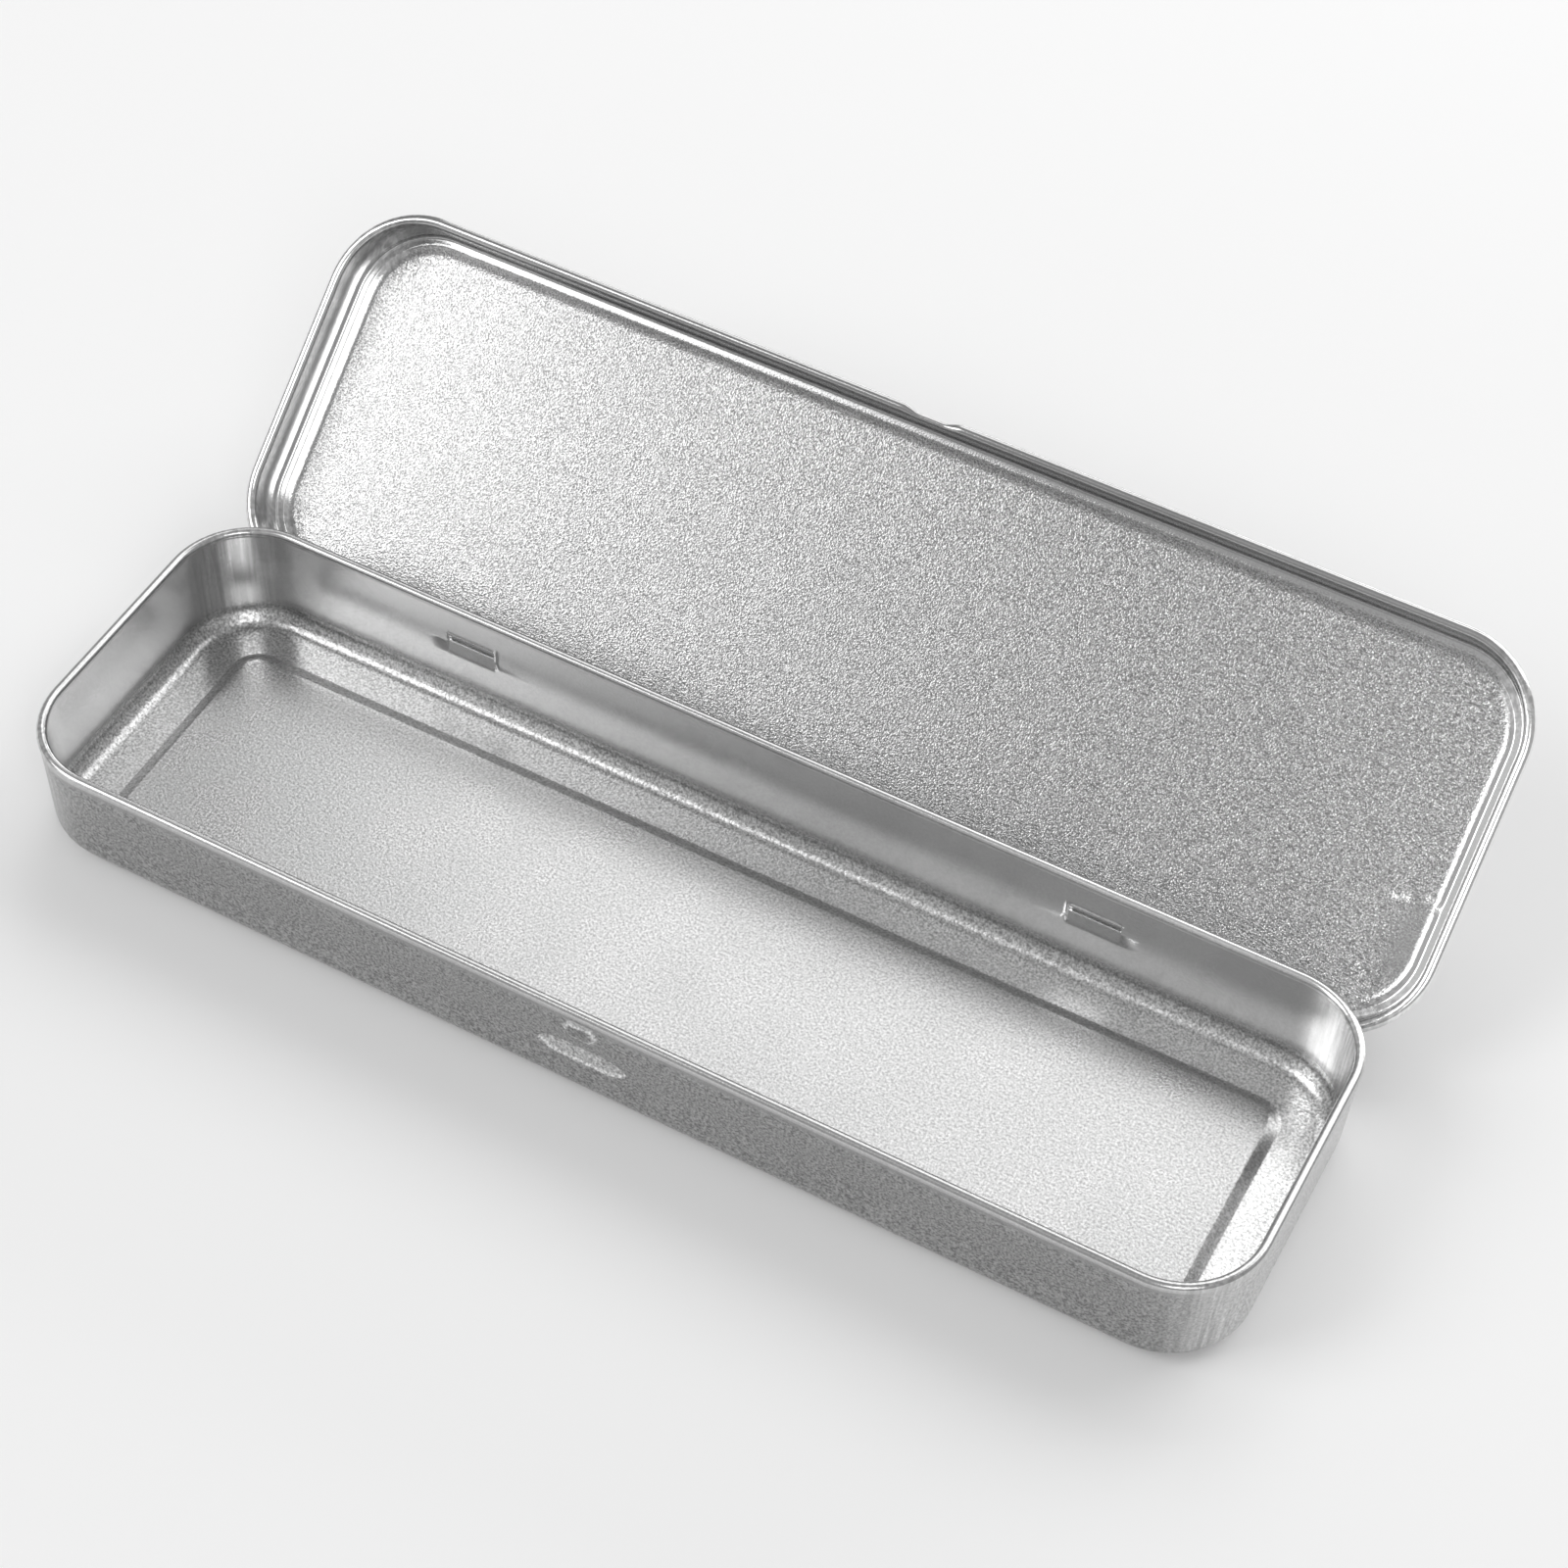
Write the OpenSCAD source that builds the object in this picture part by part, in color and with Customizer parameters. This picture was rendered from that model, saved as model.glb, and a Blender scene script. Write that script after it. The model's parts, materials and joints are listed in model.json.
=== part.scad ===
// Hinged tinplate box for coloured pencils, standing open on a flat surface.
//
// Two pressed sheets make the tin. The tray is drawn in one piece, and its rim is rolled inward.
// The lid slips over the outside of the tray, and its rim is rolled outward. Two tabs bent out of
// the lid's back rim pass through slots in the tray's back wall and curl over the lips below them.
//
// Millimetres. +X runs along the tin, -Y is the front with the snap, +Z is up. The origin is on
// the ground, under the middle of the open tin. The lid is drawn closed and then swung open.

/* [Sheet] */
// Thickness of the tinplate
sheet = 0.3; // [0.2:0.01:0.32]

/* [Tray] */
// Outer length of the tray at its rim
tray_length = 185.85; // [160:0.05:230]
// Outer width of the tray at its rim
tray_width = 54.55; // [48:0.05:80]
// Height of the tray over its rolled rim
tray_height = 19; // [18:0.1:30]
// Outer radius of the tray's upright corners
tray_corner = 12.9; // [12:0.1:18]
// How far the wall leans in between the rim and the bottom bend
tray_lean = 0.5; // [0.2:0.05:0.8]
// Outer diameter of the rim, rolled inward
tray_roll = 1.5; // [1.2:0.05:1.8]
// Outer radius of the bend between wall and foot
foot_bend = 3; // [1:0.1:3.6]
// Width of the flat foot round the bottom
foot_width = 5.1; // [3:0.1:6]
// Height of the raised bottom panel above the foot
panel_rise = 0.8; // [0.3:0.05:1.2]
// Width of the slope from the foot up to the raised panel
panel_slope = 1.1; // [0.6:0.05:1.6]

/* [Lid] */
// Outer radius of the lid's corners, over the roll
lid_corner = 14; // [13:0.1:15]
// Gap between the tray's rim and the lid's skirt
skirt_gap = 0.375; // [0.3:0.005:0.6]
// Outer diameter of the rim, rolled outward
lid_roll = 1.7; // [1.4:0.05:2]
// Depth of the skirt from the middle of the roll to the ledge inside
skirt_depth = 6.3; // [5.9:0.05:7]
// How far the skirt leans in over its depth
skirt_lean = 0.1; // [0:0.02:0.14]
// Outer radius of the bend between skirt and ledge
lid_bend = 0.9; // [0.5:0.05:1.2]
// Width of the flat ledge inside that bend
ledge_width = 0.8; // [0.4:0.05:1.5]
// Height of the lid's panel above the ledge
crown_rise = 0.7; // [0.3:0.05:1.2]
// Width of the slope from the ledge up to the panel
crown_slope = 1; // [0.5:0.05:1.6]
// Air between the tray's rim and the closed lid's ledge
seat_gap = 0.1; // [0.05:0.01:0.2]

/* [Hinge] */
// Distance from the middle of the tin to the middle of each slot
slot_offset = 50.1; // [40:0.1:60]
// Width of each slot along the tin
slot_width = 8; // [6:0.1:12]
// Clearance at each end of a tab in its slot
tab_side_gap = 0.3; // [0.2:0.05:0.6]
// Height of the hinge axis above the ground
axis_height = 10.3; // [10:0.05:11]
// Distance of the hinge axis outside the middle of the wall's sheet
axis_outset = 0.44; // [0.4:0.01:0.48]
// Inner radius of the tab's curl round the hinge axis
curl_radius = 0.3; // [0.28:0.01:0.34]
// Height of the slot's upper edge above the hinge axis
slot_headroom = 2.4; // [1.4:0.1:2.8]
// Radius of the slot's upper corners
slot_corner = 0.7; // [0.3:0.1:1]
// Height of the leaning lip under each slot, from its root to the axis
lip_height = 2; // [1.5:0.1:2.4]
// Height of the lip's edge above the hinge axis
lip_overlap = 0.15; // [0.05:0.01:0.18]
// Air between the end of the tab's curl and the inside of the lip, with the lid closed
curl_gap = 0.05; // [0.03:0.01:0.08]
// Air between the lid's roll and the tray's wall, fully open
stop_gap = 0.04; // [0.02:0.01:0.1]

/* [Snap] */
// Length of the snap's bump along the front wall
bump_length = 5.6; // [4:0.1:7]
// Height of the bump up the wall
bump_height = 3.5; // [2.5:0.1:4]
// How far the bump stands out of the wall
bump_out = 0.35; // [0.2:0.05:0.35]
// Width of the slope round the bump's flat top
bump_slope = 0.7; // [0.4:0.05:1]
// Drop from the top of the tray to the middle of the bump
bump_drop = 3.65; // [3.5:0.05:4.2]
// Length of the thumb recess along the front wall
recess_length = 14; // [10:0.1:20]
// Height of the thumb recess
recess_height = 3.75; // [2.5:0.05:4.5]
// Depth of the thumb recess
recess_depth = 0.7; // [0.4:0.05:0.9]
// Drop from the top of the tray to the middle of the thumb recess
recess_drop = 9.1; // [8.8:0.05:9.6]
// Length of the dent in the lid's front roll
dent_length = 7.2; // [5:0.1:10]
// Outer diameter of the roll where it is dented
dent_roll = 0.9; // [0.8:0.05:1.2]

/* [Hidden] */
$fn = 64;
fine_fn = 240;
overcut = 1;
// Thickness of the thin plates that the bump's hull joins
plate = 0.01;
// Length of the bump's pointed ends as a share of its half height
bump_taper = 0.6;
// Sweep of the cutter of the thumb recess
recess_sweep = 60;
// Steps of the outline that cuts the tab's curl out of its ring
curl_steps = 8;
tin_color = [0.74, 0.75, 0.76];
lid_color = [0.8, 0.81, 0.82];
tab_color = [0.62, 0.63, 0.65];

// Heights in the tray's wall, and how far its outside has leaned in at a height
rim_height = tray_height - tray_roll / 2;
lean_angle = atan(tray_lean / (rim_height - foot_bend));
function wall_lean(height) = (rim_height - height) * tan(lean_angle);

// Insets of the tray's bottom from its outline
foot_start = tray_lean + foot_bend;
slope_start = foot_start + foot_width;
panel_start = slope_start + panel_slope;

// The closed lid's outline, its heights and its insets
lid_length = tray_length + 2 * (skirt_gap + lid_roll);
lid_width = tray_width + 2 * (skirt_gap + lid_roll);
ledge_height = tray_height + seat_gap + sheet;
roll_height = tray_height + seat_gap - skirt_depth;
skirt_inset = lid_roll - sheet;
ledge_start = skirt_inset + skirt_lean + lid_bend;
crown_start = ledge_start + ledge_width;
top_start = crown_start + crown_slope;

// The hinge axis, seen along +X, with the tray's middle at y = 0
axis_y = tray_width / 2 - wall_lean(axis_height) - sheet / 2 + axis_outset;
axis_z = axis_height;
tab_width = slot_width - 2 * tab_side_gap;

// The lid opens until its back roll meets the leaning wall: the roll's middle turns about the
// axis from roll_angle to roll_stop, where it is one radius and the stop's gap from the wall
roll_out = lid_width / 2 - lid_roll / 2 - axis_y;
roll_up = roll_height - axis_z;
roll_reach = norm([roll_out, roll_up]);
roll_angle = atan2(roll_up, roll_out);
wall_out = tray_width / 2 - wall_lean(axis_z) - axis_y;
roll_stop = -acos((wall_out * cos(lean_angle) + lid_roll / 2 + stop_gap) / roll_reach) + lean_angle;
open_angle = roll_angle - roll_stop;

// The lip leans out from its root to the hinge axis
lip_root_z = axis_z - lip_height;
lip_root_y = tray_width / 2 - wall_lean(lip_root_z) - sheet / 2;
lip_angle = atan((axis_y - lip_root_y) / lip_height);

// Angles of the tab's curl in the closed lid, counted from +Y towards +Z. It ends inside the tray,
// where its inner side is one gap from the lip. In the open tin it starts outside the lip, this
// far below the level of the axis, and the strip from there to the roll hangs straight down.
tab_start_angle = 35;
curl_end = 180 - lip_angle + acos((sheet / 2 * cos(lip_angle) + curl_gap) / curl_radius);
curl_start = open_angle - tab_start_angle;
strip_angle = open_angle - 90;

// The open tin's reach in Y, from the snap's bump to the bend along the lid's front edge
bump_center = tray_height - bump_drop;
front_reach = tray_width / 2 - wall_lean(bump_center) + bump_out;
edge_out = -lid_width / 2 + ledge_start - axis_y;
edge_up = ledge_height - lid_bend - axis_z;
back_reach = axis_y + edge_out * cos(open_angle) + edge_up * sin(open_angle) + lid_bend;
middle_y = (back_reach - front_reach) / 2;

// Middle of the foot's front stretch
foot_y = -tray_width / 2 + foot_start + foot_width / 2 - middle_y;

echo(open_angle = open_angle, axis = [axis_y - middle_y, axis_z], middle_y = middle_y,
     foot_y = foot_y, lid = [lid_length, lid_width], tray_inside = tray_length - 2 * tray_roll);

// A ring section of the sheet, as in a roll or a bend
module ring(outer_radius) {
    difference() {
        circle(r = outer_radius);
        circle(r = outer_radius - sheet);
    }
}

// One quarter of such a ring, in the quadrant that the two signs name
module bend(outer_radius, x_side, y_side) {
    intersection() {
        ring(outer_radius);
        translate([min(0, x_side) * outer_radius, min(0, y_side) * outer_radius])
            square(outer_radius);
    }
}

// A sloping stretch of sheet between two levels, from one inset to another
module slope(from_x, to_x, from_y, to_y) {
    polygon([[from_x, from_y], [to_x, to_y], [to_x, to_y + sheet], [from_x, from_y + sheet]]);
}

// A level stretch of sheet, from one inset to another
module level(from_x, to_x, y) {
    slope(from_x, to_x, y, y);
}

// Section of the tray: x is the inset from its outline, y the height
module tray_section() {
    // rolled rim, open at its foot towards the wall
    translate([tray_roll / 2, rim_height])
        difference() {
            ring(tray_roll / 2);
            translate([sheet - tray_roll / 2, -tray_roll])
                square([tray_roll / 2 - sheet, tray_roll]);
        }
    // wall
    polygon([[0, rim_height], [sheet, rim_height], [tray_lean + sheet, foot_bend],
             [tray_lean, foot_bend]]);
    // bend, foot, slope and the outer part of the raised panel
    translate([foot_start, foot_bend])
        bend(foot_bend, -1, -1);
    level(foot_start, slope_start, 0);
    slope(slope_start, panel_start, 0, panel_rise);
    level(panel_start, tray_corner, panel_rise);
}

// Section of the closed lid: x is the inset from its outline, y the height. The roll's diameter
// is given, because it is smaller at the dent, where its inner side stays in line.
module lid_section(roll) {
    translate([lid_roll - roll / 2, roll_height])
        difference() {
            ring(roll / 2);
            square([roll / 2 - sheet, roll]);
        }
    // skirt
    skirt_top = ledge_height - lid_bend;
    polygon([[skirt_inset, roll_height], [lid_roll, roll_height],
             [lid_roll + skirt_lean, skirt_top], [skirt_inset + skirt_lean, skirt_top]]);
    // bend, ledge, slope and the outer part of the panel
    translate([ledge_start, skirt_top])
        bend(lid_bend, -1, 1);
    ledge_inside = ledge_height - sheet;
    level(ledge_start, crown_start, ledge_inside);
    slope(crown_start, top_start, ledge_inside, ledge_inside + crown_rise);
    level(top_start, lid_corner, ledge_inside + crown_rise);
}

// Runs a section round a rounded rectangle and closes the middle with a plate. The middle of the
// front side can be left open.
module pressed_sheet(length, width, corner, plate_height, front_gap = 0) {
    straight_x = length - 2 * corner;
    straight_y = width - 2 * corner;
    for (side = [0, 1])
        mirror([0, side, 0]) {
            // long side, towards -Y or +Y, in two halves
            gap = side == 0 ? front_gap : 0;
            for (end = [0, 1])
                mirror([end, 0, 0])
                    translate([gap / 2, -width / 2, 0])
                        rotate([90, 0, 90])
                            linear_extrude((straight_x - gap) / 2)
                                children();
            // short side, towards +X or -X
            mirror([side, 0, 0])
                translate([length / 2, straight_y / 2, 0])
                    rotate([90, 0, 0])
                        linear_extrude(straight_y)
                            mirror([1, 0])
                                children();
            // the two corners of this half, with the section cut off at the corner's axis
            for (end = [0, 1])
                mirror([end, 0, 0])
                    translate([straight_x / 2, -straight_y / 2, 0])
                        rotate([0, 0, -90])
                            rotate_extrude(angle = 90)
                                intersection() {
                                    translate([corner, 0])
                                        mirror([1, 0])
                                            children();
                                    translate([0, -overcut])
                                        square([corner + overcut, width]);
                                }
        }
    translate([-straight_x / 2, -straight_y / 2, plate_height])
        cube([straight_x, straight_y, sheet]);
}

// Flat six-sided outline of the snap's bump, drawn in from its full size by an inset
module bump_outline(inset) {
    half_length = bump_length / 2 - inset;
    half_height = bump_height / 2 - inset;
    shoulder = half_length - half_height * bump_taper;
    polygon([[-half_length, 0], [-shoulder, half_height], [shoulder, half_height],
             [half_length, 0], [shoulder, -half_height], [-shoulder, -half_height]]);
}

// Six-sided block with sloping flanks, standing out towards -Y from the plane y = 0
module bump_block(inset, stand_out) {
    hull() {
        rotate([90, 0, 0])
            linear_extrude(plate)
                bump_outline(inset);
        translate([0, plate - stand_out, 0])
            rotate([90, 0, 0])
                linear_extrude(plate)
                    bump_outline(inset + bump_slope);
    }
}

// Barrel-shaped cutter of the thumb recess. Its surface reaches inward by the recess's depth,
// and two radii give the recess its height and its length on the wall.
module recess_barrel(grow) {
    across = ((recess_height / 2) ^ 2 + recess_depth ^ 2) / (2 * recess_depth);
    along = ((recess_length / 2) ^ 2 + recess_depth ^ 2) / (2 * recess_depth);
    center_height = tray_height - recess_drop;
    wall_y = -tray_width / 2 + wall_lean(center_height);
    translate([0, wall_y + recess_depth - along, center_height])
        rotate([0, 0, 90 - recess_sweep / 2])
            rotate_extrude(angle = recess_sweep, $fn = fine_fn)
                translate([along - across, 0])
                    circle(r = across + grow);
}

// Sheet on the inside of the thumb recess
module recess_back() {
    center_height = tray_height - recess_drop;
    wall_y = -tray_width / 2 + wall_lean(center_height);
    intersection() {
        recess_barrel(sheet);
        translate([-recess_length / 2 - overcut, wall_y + sheet / 2, center_height - recess_height])
            cube([recess_length + 2 * overcut, 2 * recess_depth + sheet, 2 * recess_height]);
    }
}

// Opening of one hinge slot, and of the wall that its lip is bent from, seen along Y
module slot_outline() {
    high = axis_z + slot_headroom;
    translate([-slot_width / 2, lip_root_z])
        square([slot_width, high - lip_root_z - slot_corner]);
    translate([slot_corner - slot_width / 2, lip_root_z])
        square([slot_width - 2 * slot_corner, high - lip_root_z]);
    for (side = [-1, 1])
        translate([side * (slot_width / 2 - slot_corner), high - slot_corner])
            circle(r = slot_corner);
}

// Lip under one slot: the wall bent out from its root until its edge lies on the hinge axis
module lip() {
    edge_z = axis_z + lip_overlap;
    half = sheet / 2;
    translate([-slot_width / 2, 0, 0])
        rotate([90, 0, 90])
            linear_extrude(slot_width)
                polygon([[lip_root_y - half, lip_root_z], [lip_root_y + half, lip_root_z],
                         [axis_y + half, axis_z], [axis_y + half, edge_z],
                         [axis_y - half, edge_z], [axis_y - half, axis_z]]);
}

module tray() {
    color(tin_color) {
        bump_wall_y = -tray_width / 2 + wall_lean(bump_center);
        difference() {
            union() {
                pressed_sheet(tray_length, tray_width, tray_corner, panel_rise)
                    tray_section();
                recess_back();
                translate([0, bump_wall_y + sheet / 2, bump_center])
                    bump_block(0, bump_out + sheet / 2);
            }
            recess_barrel(0);
            translate([0, bump_wall_y + sheet + overcut / 4, bump_center])
                bump_block(sheet / 2, bump_out + overcut / 4);
            for (side = [-1, 1])
                translate([side * slot_offset, tray_width / 2 + overcut, 0])
                    rotate([90, 0, 0])
                        linear_extrude(tray_lean + sheet + 2 * overcut)
                            slot_outline();
        }
        for (side = [-1, 1])
            translate([side * slot_offset, 0, 0])
                lip();
    }
}

// Swings what is drawn in the closed lid's place to where the open lid stands
module swung_open() {
    translate([0, axis_y, axis_z])
        rotate([-open_angle, 0, 0])
            translate([0, -axis_y, -axis_z])
                children();
}

module lid() {
    plate_height = ledge_height - sheet + crown_rise;
    color(lid_color)
        swung_open() {
            pressed_sheet(lid_length, lid_width, lid_corner, plate_height, dent_length)
                lid_section(lid_roll);
            // stretch of the front side with the dented roll
            translate([-dent_length / 2, -lid_width / 2, 0])
                rotate([90, 0, 90])
                    linear_extrude(dent_length)
                        lid_section(dent_roll);
        }
}

// Side view of a tab in the closed lid: a curl round the axis, and the strip to the roll
module tab_section() {
    curl_middle = curl_radius + sheet / 2;
    difference() {
        union() {
            intersection() {
                ring(curl_radius + sheet);
                polygon([[0, 0], for (step = [0:curl_steps])
                    let (angle = curl_start + (curl_end - curl_start) * step / curl_steps)
                        2 * [cos(angle), sin(angle)]]);
            }
            translate(curl_middle * [cos(curl_start), sin(curl_start)])
                rotate(strip_angle)
                    translate([0, -sheet / 2])
                        square([roll_reach, sheet]);
        }
        translate([roll_out, roll_up])
            circle(r = lid_roll / 2);
        translate([roll_out - lid_roll, roll_up])
            square(2 * lid_roll);
    }
}

module hinge_tab(side) {
    color(tab_color)
        swung_open()
            translate([side * slot_offset - tab_width / 2, axis_y, axis_z])
                rotate([90, 0, 90])
                    linear_extrude(tab_width)
                        tab_section();
}

// Moves a piece from the tray's middle to the origin under the middle of the open tin
module placed() {
    translate([0, -middle_y, 0])
        children();
}

placed() tray();
placed() lid();
placed() hinge_tab(-1);  // left_hinge_tab
placed() hinge_tab(1);  // right_hinge_tab
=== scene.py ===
"""Looks of the open tinplate box: two pressed sheets and the hinge tabs, in satin tinplate."""

import json
import math

import bmesh
import bpy
import numpy as np
from mathutils import Matrix, Vector


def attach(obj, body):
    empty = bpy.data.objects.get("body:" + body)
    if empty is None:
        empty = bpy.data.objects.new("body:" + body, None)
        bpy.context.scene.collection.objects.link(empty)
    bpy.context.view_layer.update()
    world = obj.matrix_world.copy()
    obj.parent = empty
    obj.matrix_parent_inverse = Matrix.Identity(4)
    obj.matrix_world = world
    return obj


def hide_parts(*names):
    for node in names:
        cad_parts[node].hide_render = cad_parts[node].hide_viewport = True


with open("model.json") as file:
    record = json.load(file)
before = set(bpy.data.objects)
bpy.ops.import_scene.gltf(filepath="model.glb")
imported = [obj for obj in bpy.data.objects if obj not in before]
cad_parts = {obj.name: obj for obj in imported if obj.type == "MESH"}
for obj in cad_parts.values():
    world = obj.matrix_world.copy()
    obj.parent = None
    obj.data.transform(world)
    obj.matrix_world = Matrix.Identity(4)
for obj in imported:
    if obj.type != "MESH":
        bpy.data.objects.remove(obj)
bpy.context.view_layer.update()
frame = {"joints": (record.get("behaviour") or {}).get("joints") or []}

# Sizes of the pressed sheets in millimetres. Nearly all are the construction's. The panel's slope
# is wider here, the bump stands out a little further, and the notch in the lid's roll is longer and
# shallower
MM = 0.001
SHEET = 0.3

TRAY_LENGTH = 185.85
TRAY_WIDTH = 54.55
TRAY_HEIGHT = 19.0
TRAY_CORNER = 12.9
TRAY_LEAN = 0.5
TRAY_ROLL = 1.5
FOOT_BEND = 3.0
FOOT_WIDTH = 5.1
PANEL_RISE = 0.8
PANEL_SLOPE = 1.8

LID_CORNER = 14.0
SKIRT_GAP = 0.375
LID_ROLL = 1.7
SKIRT_DEPTH = 6.3
SKIRT_LEAN = 0.1
LID_BEND = 0.9
LEDGE_WIDTH = 0.8
CROWN_RISE = 0.7
CROWN_SLOPE = 1.0
SEAT_GAP = 0.1

SLOT_OFFSET = 50.1
SLOT_WIDTH = 8.0
SLOT_CORNER = 0.7
SLOT_HEADROOM = 2.4
LIP_HEIGHT = 2.0
LIP_OVERLAP = 0.15
LIP_CUT = 0.3
LIP_FADE = 2.8
AXIS_OUTSET = 0.44
BURR = 0.14
BURR_WIDTH = 0.25
TAB_GAP = 0.3
CURL_RADIUS = 0.3

# How far the drawn wall stands inside the construction's at the slots, because of its bead
WALL_IN = 0.1

BUMP_LENGTH = 5.6
BUMP_HEIGHT = 3.5
BUMP_OUT = 0.4
BUMP_SLOPE = 0.55
BUMP_DROP = 3.65
BUMP_TAPER = 0.6
RECESS_LENGTH = 14.0
RECESS_HEIGHT = 3.75
RECESS_DEPTH = 0.7
RECESS_SLOPE = 0.5
RECESS_DROP = 9.1
RECESS_MARGIN = 0.4
NOTCH_HALF = 4.9
NOTCH_END = 3.0
NOTCH_ROLL = 1.0

# Rubbed patch near the lid's right end: its middle and half sizes. Beside it, small dents
PATCH = (90, 14.5, 4.2, 7.5)
DENTS = ((85.3, 8.3), (86.4, 7.8), (89.8, 6.9), (91.1, 7.6))
DENT_DEPTH = -0.2
DENT_RADIUS = 0.55

# Where a tab's curl leaves its strip in the open tin and ends in the closed one, in degrees
TAB_START = 35
CURL_END = 215.2

# The hinge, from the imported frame
HINGE = frame["joints"][0]
AXIS = Vector(HINGE["pos_m"])
OPEN_ANGLE = HINGE["range_deg"][1]
AXIS_HEIGHT = AXIS.z / MM

# Grain of the tinplate, in waves per metre and metres
TRAY_GRAIN = 2700.0
LID_GRAIN = 3600.0
GRAIN_DEPTH = 0.000085

# Distance of the studio's lamps from the tin, in metres
LAMP_DISTANCE = 1.2

# Derived heights and places
RECESS_LOW = TRAY_HEIGHT - RECESS_DROP - RECESS_HEIGHT / 2 - RECESS_MARGIN
RIM_HEIGHT = TRAY_HEIGHT - TRAY_ROLL / 2
LEAN = TRAY_LEAN / (RIM_HEIGHT - FOOT_BEND)
AXIS_Y = TRAY_WIDTH / 2 - (RIM_HEIGHT - AXIS_HEIGHT) * LEAN - SHEET / 2 + AXIS_OUTSET
TRAY_MIDDLE = AXIS.y / MM - AXIS_Y
LID_LENGTH = TRAY_LENGTH + 2 * (SKIRT_GAP + LID_ROLL)
LID_WIDTH = TRAY_WIDTH + 2 * (SKIRT_GAP + LID_ROLL)
LEDGE_HEIGHT = TRAY_HEIGHT + SEAT_GAP + SHEET
ROLL_HEIGHT = TRAY_HEIGHT + SEAT_GAP - SKIRT_DEPTH


def smooth(value):
    """Soft step from 0 to 1 over the value's 0 to 1."""
    value = min(max(value, 0.0), 1.0)
    return value * value * (3 - 2 * value)


def between(value, low, high):
    """Soft step from 0 at low to 1 at high."""
    return smooth((value - low) / (high - low))


def arc(centre, radius, start, end, step=10):
    """Points on an arc, angles in degrees, both ends included."""
    count = max(2, math.ceil(abs(end - start) / step))
    angles = [math.radians(start + (end - start) * i / count) for i in range(count + 1)]
    return [(centre[0] + radius * math.cos(a), centre[1] + radius * math.sin(a)) for a in angles]


def filleted(corners, step=12):
    """A polyline through (x, y, fillet radius, longest piece of the stretch that follows)."""
    places = [np.array(c[:2], float) for c in corners]
    path = [places[0]]
    for i in range(1, len(corners)):
        here = places[i]
        entry, rounding = here, []
        if corners[i][2] > 0 and i < len(corners) - 1:
            back = (places[i - 1] - here) / np.linalg.norm(places[i - 1] - here)
            ahead = (places[i + 1] - here) / np.linalg.norm(places[i + 1] - here)
            half = math.acos(np.clip(back @ ahead, -1, 1)) / 2
            if half < math.radians(89.9):
                reach = corners[i][2] / math.tan(half)
                middle = (back + ahead) / np.linalg.norm(back + ahead)
                centre = here + middle * corners[i][2] / math.sin(half)
                entry = here + back * reach
                leave = here + ahead * reach
                first = math.atan2(*(entry - centre)[::-1])
                turn = math.atan2(*(leave - centre)[::-1]) - first
                turn = (turn + math.pi) % (2 * math.pi) - math.pi
                count = max(2, math.ceil(abs(math.degrees(turn)) / step))
                rounding = [
                    centre + corners[i][2] * np.array([math.cos(first + turn * k / count),
                                                       math.sin(first + turn * k / count)])
                    for k in range(1, count + 1)
                ]
        start = path[-1]
        pieces = max(1, math.ceil(np.linalg.norm(entry - start) / corners[i - 1][3]))
        path += [start + (entry - start) * k / pieces for k in range(1, pieces + 1)]
        path += rounding
    return [tuple(p) for p in path]


def offset_both(path, half):
    """The two sides of a sheet along its middle line, as one row of points there and back."""
    points = np.array(path)
    along = np.gradient(points, axis=0)
    along /= np.linalg.norm(along, axis=1)[:, None]
    normal = np.stack([-along[:, 1], along[:, 0]], axis=1)
    return np.concatenate([points + normal * half, (points - normal * half)[::-1]])


def spread(*stretches):
    """Coordinates along stretches (end, longest step) from 0, mirrored to both sides."""
    places, start = [0.0], 0.0
    for end, step in stretches:
        count = max(1, math.ceil((end - start) / step - 1e-9))
        places += [start + (end - start) * k / count for k in range(1, count + 1)]
        start = end
    return [-p for p in places[:0:-1]] + places


def stations(length, width, corner, along_x, along_y, corner_steps=24):
    """Places round a rounded rectangle: (x, y of the corner frame, outward x, y, side)."""
    half_x, half_y = length / 2 - corner, width / 2 - corner
    places = [(x, -half_y, 0, -1, "front") for x in along_x]
    turns = [(half_x, -half_y, -90), None, (half_x, half_y, 0), None, (-half_x, half_y, 90), None,
             (-half_x, -half_y, 180)]
    sides = {
        1: [(half_x, y, 1, 0, "right") for y in along_y],
        3: [(x, half_y, 0, 1, "back") for x in along_x[::-1]],
        5: [(-half_x, y, -1, 0, "left") for y in along_y[::-1]],
    }
    for i, turn in enumerate(turns):
        if turn is None:
            places += sides[i]
            continue
        for k in range(1, corner_steps):
            angle = math.radians(turn[2] + 90 * k / corner_steps)
            places.append((turn[0], turn[1], math.cos(angle), math.sin(angle), "corner"))
    return places


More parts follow.
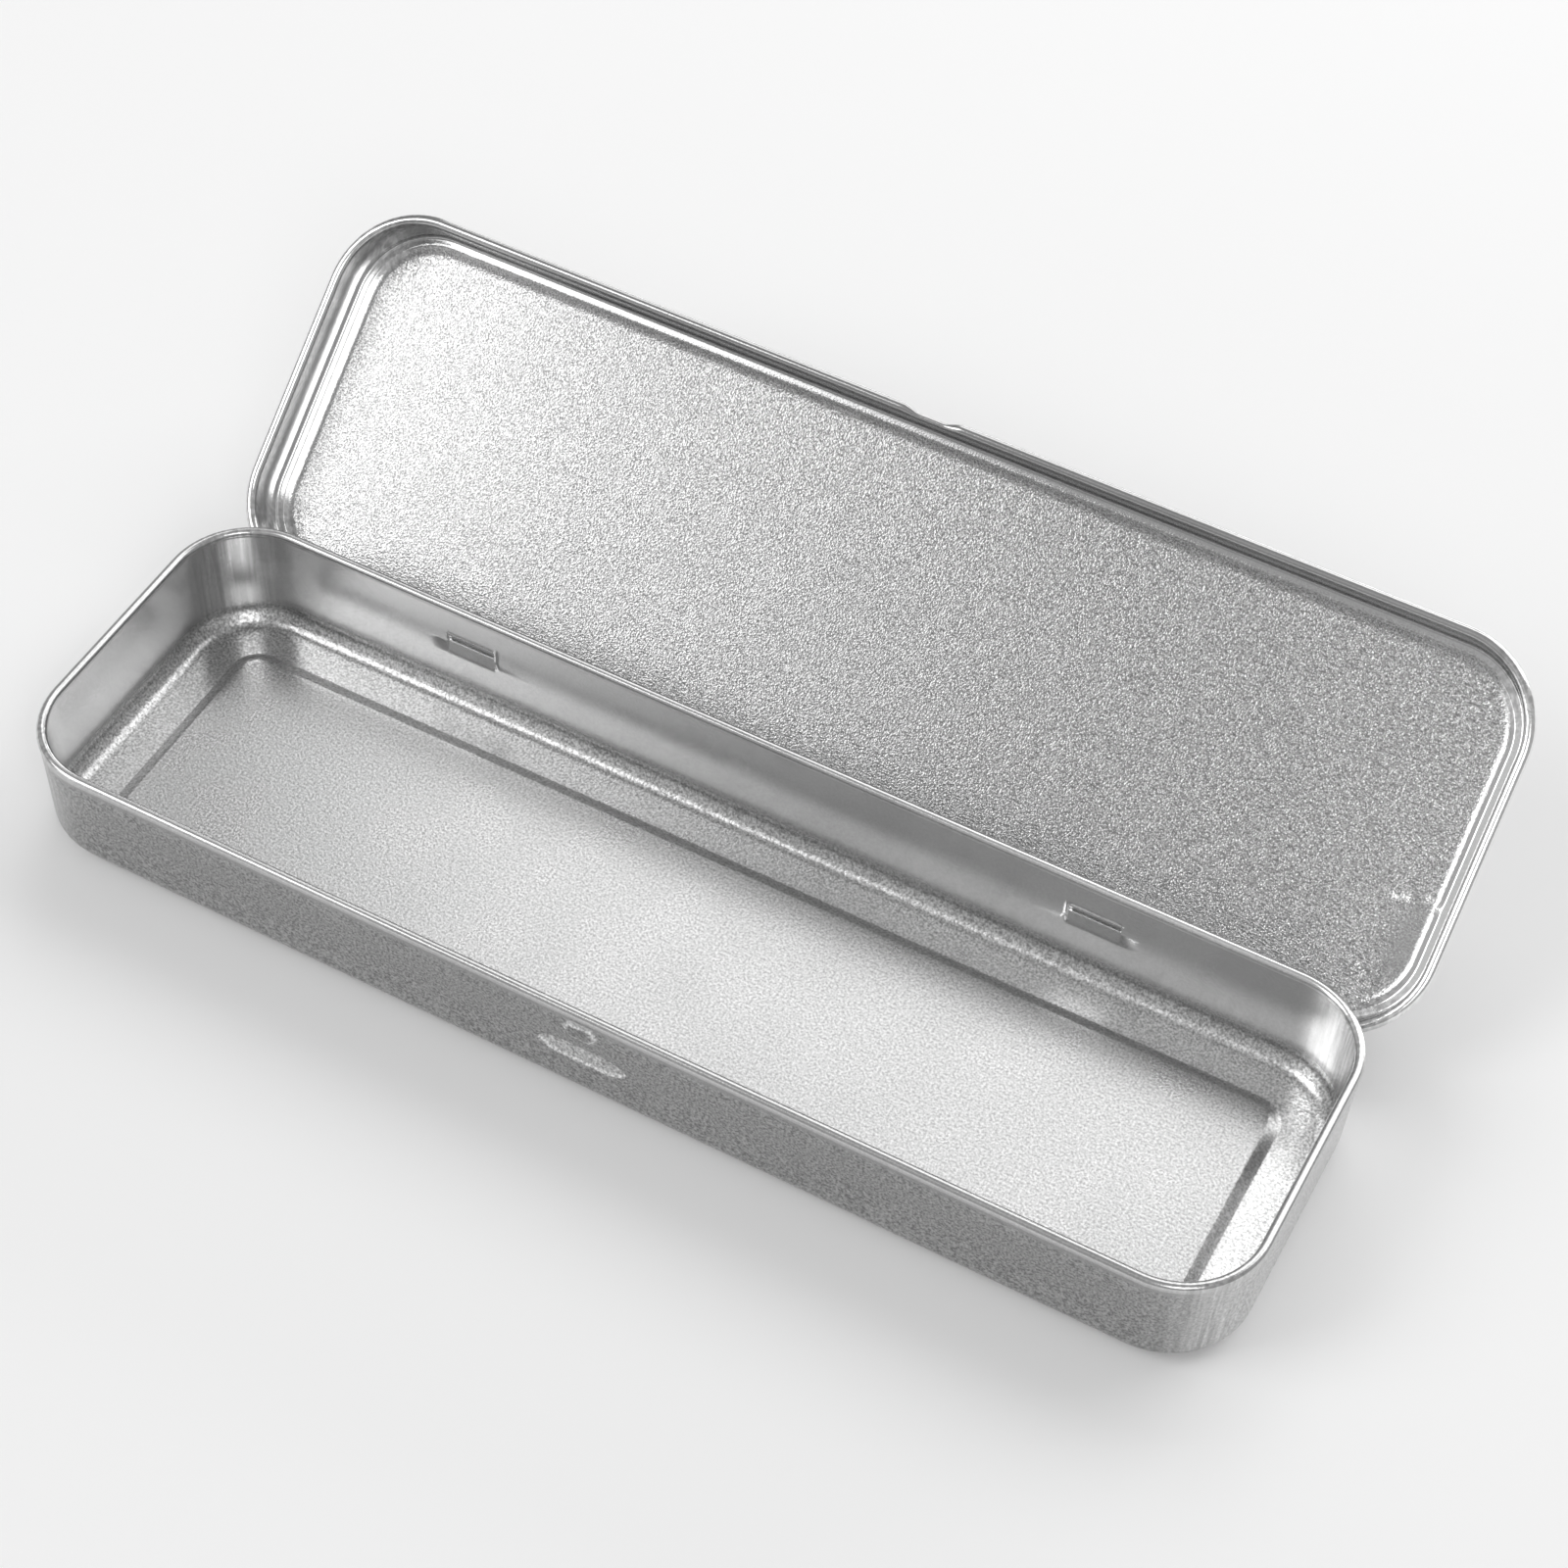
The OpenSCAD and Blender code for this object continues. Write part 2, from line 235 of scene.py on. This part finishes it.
def pressed(name, places, corner, along_x, along_y, section_at, grain_and_shading_at, hole_at=None):
    """Mesh of a pressed sheet: a section swept round the places, with a plate in the middle.

    section_at(place) gives rows of (inset, height), out along one side of the sheet and back
    along the other. grain_and_shading_at(place, inset, height, first side) gives how grainy the
    sheet is there and its painted shading: painted shade above zero and painted light below zero.
    hole_at(place, height) is true where the wall is cut away.
    """
    mesh = bmesh.new()
    grain = mesh.verts.layers.float.new("grain")
    # painted shading: painted shade above zero, painted light below zero
    painted_shading = mesh.verts.layers.float.new("painted_shading")
    corners = mesh.verts.layers.float.new("corner")
    rings = []
    for place in places:
        ax, ay, nx, ny, _ = place
        ring = []
        section = section_at(place)
        for j, (s, z) in enumerate(section):
            vertex = mesh.verts.new((ax + nx * (corner - s), ay + ny * (corner - s), z))
            vertex[grain], vertex[painted_shading] = grain_and_shading_at(place, s, z, j < len(section) / 2)
            vertex[corners] = 4 * (nx * ny) ** 2
            ring.append(vertex)
        rings.append(ring)
    rows = len(rings[0])
    cut = set()
    if hole_at:
        for i, place in enumerate(places):
            after = places[(i + 1) % len(places)]
            if place[4] != "back" or after[4] != "back":
                continue
            for j in range(rows - 1):
                middle = (rings[i][j].co.z + rings[i][j + 1].co.z) / 2
                if hole_at((place[0] + after[0]) / 2, middle):
                    cut.add((i, j))
    for i in range(len(places)):
        here, there = rings[i], rings[(i + 1) % len(places)]
        for j in range(rows - 1):
            if (i, j) not in cut:
                mesh.faces.new((here[j], here[j + 1], there[j + 1], there[j]))
    # edges of the holes, from one side of the sheet to the other
    for i, j in cut:
        opposite = rows - 2 - j
        if j > opposite:
            continue
        here, there = rings[i], rings[(i + 1) % len(places)]
        if (i, j - 1) not in cut:
            mesh.faces.new((here[j], there[j], there[rows - 1 - j], here[rows - 1 - j]))
        if (i, j + 1) not in cut:
            mesh.faces.new((there[j + 1], here[j + 1], here[opposite], there[opposite]))
        if (i - 1, j) not in cut:
            mesh.faces.new((here[j + 1], here[j], here[rows - 1 - j], here[opposite]))
        if (i + 1, j) not in cut:
            mesh.faces.new((there[j], there[j + 1], there[opposite], there[rows - 1 - j]))
    # plates that close the middle on both sides
    for row, flip in ((0, False), (rows - 1, True)):
        height = rings[0][row].co.z
        grid = [[mesh.verts.new((x, y, height)) for y in along_y] for x in along_x]
        for vertex in sum(grid, []):
            spot = (vertex.co.x, vertex.co.y, 0, 0, "middle")
            vertex[grain], vertex[painted_shading] = grain_and_shading_at(spot, corner, height, not flip)
        for a in range(len(along_x) - 1):
            for b in range(len(along_y) - 1):
                square = [grid[a][b], grid[a + 1][b], grid[a + 1][b + 1], grid[a][b + 1]]
                mesh.faces.new(square[::-1] if flip else square)
    bmesh.ops.remove_doubles(mesh, verts=mesh.verts, dist=1e-4)
    bmesh.ops.dissolve_degenerate(mesh, edges=mesh.edges, dist=1e-5)
    bmesh.ops.recalc_face_normals(mesh, faces=mesh.faces)
    data = bpy.data.meshes.new(name)
    mesh.to_mesh(data)
    mesh.free()
    piece = bpy.data.objects.new(name, data)
    bpy.context.scene.collection.objects.link(piece)
    return piece


def shade(piece, angle=40):
    """Smooth shading with sharp edges where the sheet's edge turns."""
    piece.data.polygons.foreach_set("use_smooth", [True] * len(piece.data.polygons))
    piece.data.set_sharp_from_angle(angle=math.radians(angle))
    piece.data.update()


def bump_inside(x, z):
    """How far inside the outline of the snap's bump a place on the front wall is, in slopes."""
    dz = abs(z - (TRAY_HEIGHT - BUMP_DROP))
    half_length, half_height = BUMP_LENGTH / 2, BUMP_HEIGHT / 2
    flank = (half_length - abs(x) - BUMP_TAPER * dz) / math.hypot(1, BUMP_TAPER)
    inside = min(half_height - dz, flank)
    return inside / BUMP_SLOPE


def recess_inside(x, z):
    """How far inside the outline of the thumb recess a place on the front wall is, in slopes."""
    dz = z - (TRAY_HEIGHT - RECESS_DROP)
    half_height = RECESS_HEIGHT / 2 * (1 - abs(x / (RECESS_LENGTH / 2)) ** 5)
    return (half_height - abs(dz)) / RECESS_SLOPE


def front_form(x, z):
    """How far the front wall reaches in, at the bump and the recess with its leaning floor."""
    dz = z - (TRAY_HEIGHT - RECESS_DROP)
    recess = (0.62 + 0.2 * dz) * RECESS_DEPTH * smooth(recess_inside(x, z))
    return recess - BUMP_OUT * smooth(bump_inside(x, z))


def front_painted_light(x, z):
    """Painted highlights on the front wall: the bump's slopes, and the recess's floor and lower
    edge.
    The bump's top gets a little painted shade.
    """
    slopes = between(bump_inside(x, z), 0.0, 0.4) * between(bump_inside(x, z), 1.5, 1.0)
    top = 0.15 * between(bump_inside(x, z), 1.0, 1.5)
    floor = 0.5 * between(recess_inside(x, z), 0.1, 0.9)
    low = z < TRAY_HEIGHT - RECESS_DROP
    edge = low * between(recess_inside(x, z), -0.1, 0.1) * between(recess_inside(x, z), 1.1, 0.7)
    return 0.8 * slopes - top + floor + 0.6 * edge


def lip_out(x, z):
    """How far the wall under each slot is bent out, to carry a hinge tab.

    The lip is cut free at the slot's inner end, beside a burr, and fades into the wall beyond its
    outer end.
    """
    across = abs(x) - SLOT_OFFSET
    root = AXIS_HEIGHT - LIP_HEIGHT
    lean = (RIM_HEIGHT - root) * LEAN
    wall = TRAY_WIDTH / 2 - lean - SHEET / 2
    rise = (z - root) / LIP_HEIGHT
    below = max(0.0, AXIS_HEIGHT - z)
    beside = math.exp(-((across + SLOT_WIDTH / 2 + LIP_CUT + 0.4 * below) / BURR_WIDTH) ** 2)
    burr = -BURR * beside * between(rise, 0.1, 0.8) * between(rise, 2.4, 1.9)
    if rise <= 0 or z > AXIS_HEIGHT + LIP_OVERLAP + 0.01:
        return burr
    inner = smooth((across + SLOT_WIDTH / 2 + LIP_CUT) / LIP_CUT)
    outer = smooth((SLOT_WIDTH / 2 + LIP_FADE - across) / LIP_FADE)
    target = AXIS_Y - wall - (z - root) * LEAN + WALL_IN
    return target * min(rise, 1.0) * inner * outer + burr


def tray_section(place):
    """Both sides of the tray's sheet at a place round its outline, from the panel to the rim."""
    half = SHEET / 2
    foot_start = TRAY_LEAN + FOOT_BEND
    slope_start = foot_start + FOOT_WIDTH
    panel_start = slope_start + PANEL_SLOPE
    line = filleted([
        (TRAY_CORNER, PANEL_RISE + half, 0, 0.8),
        (panel_start, PANEL_RISE + half, 1.1, 1),
        (slope_start, half, 0.9, 1.2),
        (TRAY_LEAN + half + 2.15, half, 2.4, 0.4),
        (TRAY_LEAN + half + 0.05, 2.5, 2.6, 0.6),
        (TRAY_LEAN * 0.72 + half + 0.06, RECESS_LOW, 0, 0.2),
        (TRAY_LEAN * 0.55 + half + 0.08, AXIS_HEIGHT + LIP_OVERLAP, 0, 0.2),
        (TRAY_LEAN * 0.46 + half + 0.09, AXIS_HEIGHT + SLOT_HEADROOM - SLOT_CORNER, 0, 0.1),
        (TRAY_LEAN * 0.42 + half + 0.09, AXIS_HEIGHT + SLOT_HEADROOM, 0, 0.25),
        (half + 0.13, RIM_HEIGHT - 0.85, 0.4, 0.2),
        (TRAY_ROLL / 2 - 0.56, RIM_HEIGHT - 0.22, 0, 0.2),
    ])
    roll = arc((TRAY_ROLL / 2, RIM_HEIGHT), TRAY_ROLL / 2 - half, 195, -100, 12)
    path = np.array(line + roll)
    ax, _, _, _, side = place
    if side == "front":
        for k, (s, z) in enumerate(path):
            if z < RIM_HEIGHT - 1 and s < FOOT_BEND:
                path[k, 0] += front_form(ax, z)
    both = offset_both(path, half)
    if side == "back":
        out = [lip_out(ax, z) if s < FOOT_BEND else 0.0 for s, z in path]
        both[:, 0] -= out + out[::-1]
    return both


def tray_grain_and_shading(place, s, z, outer):
    """How grainy the tray is at a place, and its painted shading.

    The wall is smooth inside. Outside, its front has painted shade, its right end painted light and
    its bump and recess painted highlights. Inside, the walls have painted light, more on the back
    wall towards the right. The foot has painted light towards the right, and the panel has painted
    light towards the left and painted shade towards the right. Along each slot's upper edge is
    painted shade, partly its bare cut edge, and its lip has painted light.
    """
    if outer:
        grain = 1 - 0.8 * between(z, RIM_HEIGHT - 1.6, RIM_HEIGHT - 0.9)
        grain *= 1 - 0.6 * 4 * (place[2] * place[3]) ** 2
    else:
        grain = 0.7 + 0.3 * between(s, TRAY_CORNER - 4, FOOT_BEND)
        grain *= 1 - 0.85 * between(z, 1.8, 4.5)
    if outer and z < RIM_HEIGHT - 0.4:
        # outside: painted shade on the front, painted light on the right end
        painted_shading = 0.26 * max(0.0, -place[3]) - 0.4 * between(place[2], 0.3, 1.0)
        # painted highlights on the front's bump and recess
        if place[4] == "front" and s < FOOT_BEND:
            painted_shading -= front_painted_light(place[0], z)
        return grain, painted_shading
    # inside: painted light on the walls, more on the back wall towards the right
    painted_shading = (-0.15 - 0.45 * max(0.0, place[3]) * between(place[0], 0, 60)) * between(z, 2.5, 5)
    foot_end = FOOT_BEND + FOOT_WIDTH
    foot = between(s, TRAY_LEAN, FOOT_BEND) * between(s, foot_end + 1, foot_end)
    right = between(place[0], -TRAY_LENGTH / 2, TRAY_LENGTH / 2)
    # painted light on the foot, more towards the right
    painted_shading -= foot * right * (0.5 + 0.2 * max(0.0, place[3]))
    if z < 2.5:
        # painted light on the panel's left and painted shade on its right
        painted_shading += 0.22 * between(place[0] + place[2] * (TRAY_CORNER - s), -95, 20) - 0.14
    if place[4] == "back" and abs(abs(place[0]) - SLOT_OFFSET) < SLOT_WIDTH / 2:
        # painted shade along the slot's upper edge, partly its bare cut edge, and painted light on
        # the lip
        painted_shading += 0.5 * between(abs(z - AXIS_HEIGHT - SLOT_HEADROOM), 0.35, 0.05)
        painted_shading -= 0.4 * between(lip_out(place[0], z), 0.02, 0.2)
    return grain, painted_shading


def lid_grain_and_shading(place, s, z, inner):
    """How grainy the lid is at a place, and its painted shading.

    Its skirt and roll are smooth. Inside, it has painted shade behind each slot, painted highlights
    at its ends and its dents, painted light towards its right, and painted shade in the middle and
    towards its left.
    """
    if not inner:
        return 0.15 + 0.6 * between(z, ROLL_HEIGHT + 1, ROLL_HEIGHT + 1.8), 0.0
    # painted shade in the pocket behind each slot
    behind = between(abs(abs(place[0]) - SLOT_OFFSET), SLOT_WIDTH / 2 + 2, SLOT_WIDTH / 2)
    pocket_painted_shade = 0.55 * behind * between(z, ROLL_HEIGHT + 3, ROLL_HEIGHT) if place[4] == "back" else 0.0
    end = between(abs(place[2]), 0.4, 0.9)
    grain = 0.12 + 0.88 * between(s, LID_ROLL + 0.8 + end, LID_ROLL + 2.2 + 1.5 * end)
    x, y = place[0] + place[2] * (LID_CORNER - s), place[1] + place[3] * (LID_CORNER - s)
    # painted highlights at the dents and the ends, painted light towards the right, painted shade
    # in the middle
    painted_light = 5 * abs(dented(x, y)) + 0.7 * end * between(s, LID_ROLL + 2.6, LID_ROLL + 1.8)
    painted_light += 0.19 * between(x, 45, 95) - 0.09 * between(abs(x + 15), 70, 30)
    # towards the left: less grain and a little painted shade
    left = between(x, -25, -75)
    grain *= (1 - 0.6 * rubbed(x, y)) * (1 - 0.15 * left)
    return grain, pocket_painted_shade - painted_light + 0.08 * left


def in_slot(x, z):
    """True inside the opening of a hinge slot, above its lip. Its upper corners are round."""
    across = abs(abs(x) - SLOT_OFFSET)
    low = AXIS_HEIGHT + LIP_OVERLAP
    high = AXIS_HEIGHT + SLOT_HEADROOM
    beside = across - (SLOT_WIDTH / 2 - SLOT_CORNER)
    above = z - (high - SLOT_CORNER)
    cut_off = beside > 0 and above > 0 and math.hypot(beside, above) > SLOT_CORNER
    return across < SLOT_WIDTH / 2 and low < z < high and not cut_off


def make_tray():
    """The tray's sheet, from its panel over the foot and the wall to its inward roll."""
    slot_in = SLOT_OFFSET - SLOT_WIDTH / 2
    slot_out = SLOT_OFFSET + SLOT_WIDTH / 2
    along_x = spread((9, 0.35), (slot_in - 1, 4), (slot_in, 0.15), (slot_in + 1, 0.15),
                     (slot_out - 1, 0.5), (slot_out, 0.15), (slot_out + 3, 0.4),
                     (TRAY_LENGTH / 2 - TRAY_CORNER, 4))
    along_y = spread((TRAY_WIDTH / 2 - TRAY_CORNER, 4))
    places = stations(TRAY_LENGTH, TRAY_WIDTH, TRAY_CORNER, along_x, along_y, 18)
    tray = pressed("tray_sheet", places, TRAY_CORNER, along_x, along_y, tray_section,
                   tray_grain_and_shading, in_slot)
    tray.data.transform(Matrix.Translation((0, TRAY_MIDDLE, 0)))
    tray.data.transform(Matrix.Scale(MM, 4))
    shade(tray)
    return tray


def rubbed(x, y):
    """How smooth the lid is rubbed at a place, 0 to 1: one patch near a corner."""
    away = math.hypot((x - PATCH[0]) / PATCH[2], (y - PATCH[1]) / PATCH[3])
    return between(away, 1.5, 0.1)


def dented(x, y):
    """Height of the small dents beside the rubbed patch."""
    return sum(DENT_DEPTH * math.exp(-((x - a) ** 2 + (y - b) ** 2) / DENT_RADIUS ** 2)
               for a, b in DENTS)


def lid_section(place):
    """Both sides of the closed lid's sheet, from the panel to the roll."""
    half = SHEET / 2
    ax, _, _, _, side = place
    ledge_start = LID_ROLL - SHEET + SKIRT_LEAN + LID_BEND
    crown_start = ledge_start + LEDGE_WIDTH
    top_start = crown_start + CROWN_SLOPE
    ledge = LEDGE_HEIGHT - half
    skirt = LID_ROLL - half
    line = filleted([
        (LID_CORNER, ledge + CROWN_RISE, 0, 0.4),
        (top_start, ledge + CROWN_RISE, 2.2, 1),
        (crown_start, ledge, 0.3, 0.3),
        (skirt + SKIRT_LEAN, ledge, LID_BEND - half, 0.5),
        (skirt, ROLL_HEIGHT, 0, 0.2),
    ])
    size = LID_ROLL
    if side == "front":
        inside = (NOTCH_HALF - abs(ax)) / NOTCH_END
        size = LID_ROLL + (NOTCH_ROLL - LID_ROLL) * smooth(inside)
    roll = arc((LID_ROLL - size / 2, ROLL_HEIGHT), size / 2 - half, 0, -290, 12)[1:]
    path = np.array(line + roll)
    if side == "right":
        for k, (s, z) in enumerate(path):
            if s > crown_start:
                path[k, 1] += dented(ax + place[2] * (LID_CORNER - s), place[1])
    return offset_both(path, half)


def swing_open(piece):
    """Turns what was made in the closed lid's place to where the open lid stands."""
    turn = (Matrix.Translation(AXIS)
            @ Matrix.Rotation(math.radians(-OPEN_ANGLE), 4, "X")
            @ Matrix.Translation(-AXIS))
    piece.data.transform(turn)
    piece.data.update()


def make_lid():
    """The lid's sheet, made closed over the tray and then swung open."""
    along_x = spread((6, 0.25), (SLOT_OFFSET - SLOT_WIDTH, 4), (SLOT_OFFSET + SLOT_WIDTH, 1),
                     (LID_LENGTH / 2 - LID_CORNER, 4))
    along_y = spread((5, 2.5), (10, 0.4), (LID_WIDTH / 2 - LID_CORNER, 1.5))
    places = stations(LID_LENGTH, LID_WIDTH, LID_CORNER, along_x, along_y)
    lid = pressed("lid_sheet", places, LID_CORNER, along_x, along_y, lid_section, lid_grain_and_shading)
    lid.data.transform(Matrix.Translation((0, TRAY_MIDDLE, 0)))
    lid.data.transform(Matrix.Scale(MM, 4))
    swing_open(lid)
    shade(lid)
    return lid


def make_tab(name, side):
    """One hinge tab: a curl round the axis and the short strip that leaves the lid's back roll."""
    half = SHEET / 2
    middle = CURL_RADIUS + half
    roll = np.array((TRAY_MIDDLE + LID_WIDTH / 2 - LID_ROLL / 2, ROLL_HEIGHT))
    roll -= np.array((AXIS.y / MM, AXIS_HEIGHT))
    start = OPEN_ANGLE - TAB_START
    path = arc((0, 0), middle, CURL_END, start, 9)
    away = roll - path[-1]
    path.append(tuple(path[-1] + away * (1 - (LID_ROLL / 2 - half) / np.linalg.norm(away))))
    ring = [Vector(p) for p in offset_both(path, half)]
    mesh = bmesh.new()
    width = SLOT_WIDTH / 2 - TAB_GAP
    rows = []
    for x, thin in ((-width, 0.7), (-width + 0.08, 1), (width - 0.08, 1), (width, 0.7)):
        row = []
        for k, point in enumerate(ring):
            middle_point = (ring[k] + ring[len(ring) - 1 - k]) / 2
            point = middle_point + (point - middle_point) * thin
            row.append(mesh.verts.new((x, point.x, point.y)))
        rows.append(row)
    for here, there in zip(rows, rows[1:]):
        for k in range(len(ring)):
            after = (k + 1) % len(ring)
            mesh.faces.new((here[k], here[after], there[after], there[k]))
    for row in (rows[0], rows[-1]):
        for k in range(len(path) - 1):
            mesh.faces.new((row[k], row[k + 1], row[len(ring) - 2 - k], row[len(ring) - 1 - k]))
    bmesh.ops.recalc_face_normals(mesh, faces=mesh.faces)
    data = bpy.data.meshes.new(name)
    mesh.to_mesh(data)
    mesh.free()
    tab = bpy.data.objects.new(name, data)
    bpy.context.scene.collection.objects.link(tab)
    data.transform(Matrix.Translation((side * SLOT_OFFSET, AXIS.y / MM, AXIS_HEIGHT)))
    data.transform(Matrix.Scale(MM, 4))
    swing_open(tab)
    shade(tab)
    return tab


def tinplate(name, tone, roughness, waves, depth, speckle):
    """Satin tinplate: metal with an orange-peel grain, as deep as the piece's own grain says.

    waves is the grain's scale, depth how strong its bumps are and speckle how strong its tones are.
    """
    material = bpy.data.materials.new(name)
    material.use_nodes = True
    tree = material.node_tree
    shader = tree.nodes["Principled BSDF"]
    shader.inputs["Metallic"].default_value = 1

    def node(kind, links=(), **values):
        made = tree.nodes.new("ShaderNode" + kind)
        for key, value in values.items():
            if key in made.inputs.keys() or key.replace("_", " ") in made.inputs.keys():
                made.inputs[key.replace("_", " ")].default_value = value
            else:
                setattr(made, key, value)
        for socket, source in links:
            tree.links.new(source, made.inputs[socket])
        return made

    place = node("TexCoord").outputs["Object"]
    grain = node("Attribute", attribute_name="grain").outputs["Fac"]
    corner = node("Attribute", attribute_name="corner").outputs["Fac"]
    painted_shading = node("Attribute", attribute_name="painted_shading").outputs["Fac"]
    peel = node("TexNoise", [("Vector", place)], Scale=waves, Detail=1.0, Roughness=0.6)
    cloud = node("TexNoise", [("Vector", place)], Scale=70.0, Detail=3.0)

    # the peel darkens its pits, broad clouds vary the tone, and the painted shading darkens the
    # sheet where painted shade is and brightens it below zero, where painted light is
    tones = node("MapRange", [("Value", peel.outputs["Fac"])], From_Min=0.3, From_Max=0.7,
                 To_Min=tone * (1 - speckle), To_Max=tone * (1 + speckle * 0.6))
    plain = node("MapRange", [("Value", cloud.outputs["Fac"])], From_Min=0.3, From_Max=0.7,
                 To_Min=tone * 0.95, To_Max=tone * 1.04)
    mixed = node("Mix", [("Factor", grain), ("A", plain.outputs["Result"]),
                         ("B", tones.outputs["Result"])], data_type="FLOAT")
    left_over = node("MapRange", [("Value", painted_shading)], clamp=False, To_Min=1.0, To_Max=0.15)
    shown = node("Math", [(0, mixed.outputs["Result"]), (1, left_over.outputs["Result"])],
                 operation="MULTIPLY")
    rough = node("MapRange", [("Value", cloud.outputs["Fac"])], From_Min=0.3, From_Max=0.7,
                 To_Min=roughness - 0.02, To_Max=roughness + 0.03)
    polish = node("MapRange", [("Value", grain)], To_Min=0.75, To_Max=1.0)
    matt = node("Math", [(0, rough.outputs["Result"]), (1, polish.outputs["Result"])],
                operation="MULTIPLY")
    tree.links.new(matt.outputs[0], shader.inputs["Roughness"])

    # upright drawing lines at the corners
    stretch = node("Mapping", [("Vector", place)], Scale=(1500.0, 1500.0, 60.0))
    lines = node("TexNoise", [("Vector", stretch.outputs["Vector"])], Scale=1.0, Detail=1.0)
    streaks = node("MapRange", [("Value", lines.outputs["Fac"])], From_Min=0.35, From_Max=0.65,
                   To_Min=0.8, To_Max=1.2)
    streaked = node("Mix", [("Factor", corner), ("B", streaks.outputs["Result"])],
                    data_type="FLOAT", A=1.0)
    colour = node("Math", [(0, shown.outputs[0]), (1, streaked.outputs["Result"])],
                  operation="MULTIPLY", use_clamp=True)
    tree.links.new(colour.outputs[0], shader.inputs["Base Color"])

    # bumps of the peel and of the drawing lines
    peel_depth = node("Math", [(0, grain)], operation="MULTIPLY")
    peel_depth.inputs[1].default_value = depth
    line_depth = node("Math", [(0, corner)], operation="MULTIPLY")
    line_depth.inputs[1].default_value = 0.6
    bumps = node("Bump", [("Strength", peel_depth.outputs[0]), ("Height", peel.outputs["Fac"])],
                 Distance=GRAIN_DEPTH)
    drawn = node("Bump", [("Strength", line_depth.outputs[0]), ("Height", lines.outputs["Fac"]),
                          ("Normal", bumps.outputs["Normal"])], Distance=0.00003)
    tree.links.new(drawn.outputs["Normal"], shader.inputs["Normal"])
    return material


def wear(piece, material):
    """Gives a piece its one material."""
    piece.data.materials.clear()
    piece.data.materials.append(material)


tray = make_tray()
wear(tray, tinplate("tray_tinplate_satin", 0.53, 0.3, TRAY_GRAIN, 0.4, 0.5))
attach(tray, "tray")
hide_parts("tray")

lid = make_lid()
wear(lid, tinplate("lid_tinplate_satin", 0.51, 0.22, LID_GRAIN, 1.0, 0.5))
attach(lid, "lid")
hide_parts("lid")

tab_tinplate = tinplate("tab_tinplate_satin", 0.6, 0.25, LID_GRAIN, 0.2, 0.1)
for side, word in ((-1, "left"), (1, "right")):
    tab = make_tab(word + "_tab_sheet", side)
    wear(tab, tab_tinplate)
    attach(tab, "lid")
    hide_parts(word + "_hinge_tab")


def make_floor():
    """Plain pale floor, wide enough for every view."""
    bpy.ops.mesh.primitive_plane_add(size=6)
    floor = bpy.context.object
    floor.name = "floor"
    material = bpy.data.materials.new("floor_paper")
    material.use_nodes = True
    shader = material.node_tree.nodes["Principled BSDF"]
    shader.inputs["Base Color"].default_value = (0.94, 0.94, 0.94, 1)
    shader.inputs["Roughness"].default_value = 0.9
    floor.data.materials.append(material)


def softbox(name, place, target, size, brightness):
    """A soft lamp of this size whose face has this radiance."""
    data = bpy.data.lights.new(name, "AREA")
    data.shape = "RECTANGLE"
    data.size, data.size_y = size
    data.energy = brightness * math.pi * size[0] * size[1]
    lamp = bpy.data.objects.new(name, data)
    lamp.location = place
    lamp.rotation_mode = "QUATERNION"
    lamp.rotation_quaternion = (Vector(target) - Vector(place)).to_track_quat("-Z", "Y")
    bpy.context.scene.collection.objects.link(lamp)
    return lamp


def light_studio():
    """Soft lamps round the tin, and a pale surround. Angles are degrees from the front and up."""
    for name, azimuth, elevation, size, brightness in (
        ("back_right", 150, 45, (0.8, 0.7), 1.75),
        ("back_left", 200, 50, (0.6, 0.7), 1.55),
        ("back_low", 175, 12, (1.6, 0.35), 3.0),
        ("left_front", 309, 43, (0.55, 0.6), 3.2),
        ("left_low", 318, 15, (0.5, 0.3), 1.0),
        ("front", 350, 54, (0.5, 0.4), 0.15),
        ("front_right", 38, 44, (0.45, 0.45), 3.0),
    ):
        around, up = math.radians(azimuth), math.radians(elevation)
        direction = Vector((math.sin(around) * math.cos(up), -math.cos(around) * math.cos(up),
                            math.sin(up)))
        softbox(name, direction * LAMP_DISTANCE, (0, 0, 0), size, brightness)
    world = bpy.data.worlds.new("studio")
    bpy.context.scene.world = world
    world.use_nodes = True
    world.node_tree.nodes["Background"].inputs["Color"].default_value = (0.42, 0.42, 0.42, 1)


make_floor()
light_studio()

# Camera at the photograph's place: 25.9 degrees to the right of the front and 50.1 up
CAMERA_PLACE = Vector((0.13565, -0.27286, 0.37866))
CAMERA_TARGET = Vector((0.001145, 0.003957, 0.01))
CAMERA_ROLL = 3.12
CAMERA_LENS = 77.854


def make_camera():
    """The camera, set by its place, target, roll and lens."""
    data = bpy.data.cameras.new("camera")
    data.lens = CAMERA_LENS
    data.sensor_width = 36
    data.clip_start = 0.01
    camera = bpy.data.objects.new("camera", data)
    look = (CAMERA_TARGET - CAMERA_PLACE).to_track_quat("-Z", "Y").to_matrix().to_4x4()
    roll = Matrix.Rotation(math.radians(CAMERA_ROLL), 4, "Z")
    camera.matrix_world = Matrix.Translation(CAMERA_PLACE) @ look @ roll
    bpy.context.scene.collection.objects.link(camera)
    bpy.context.scene.camera = camera


make_camera()
bpy.context.scene.view_settings.view_transform = "Standard"
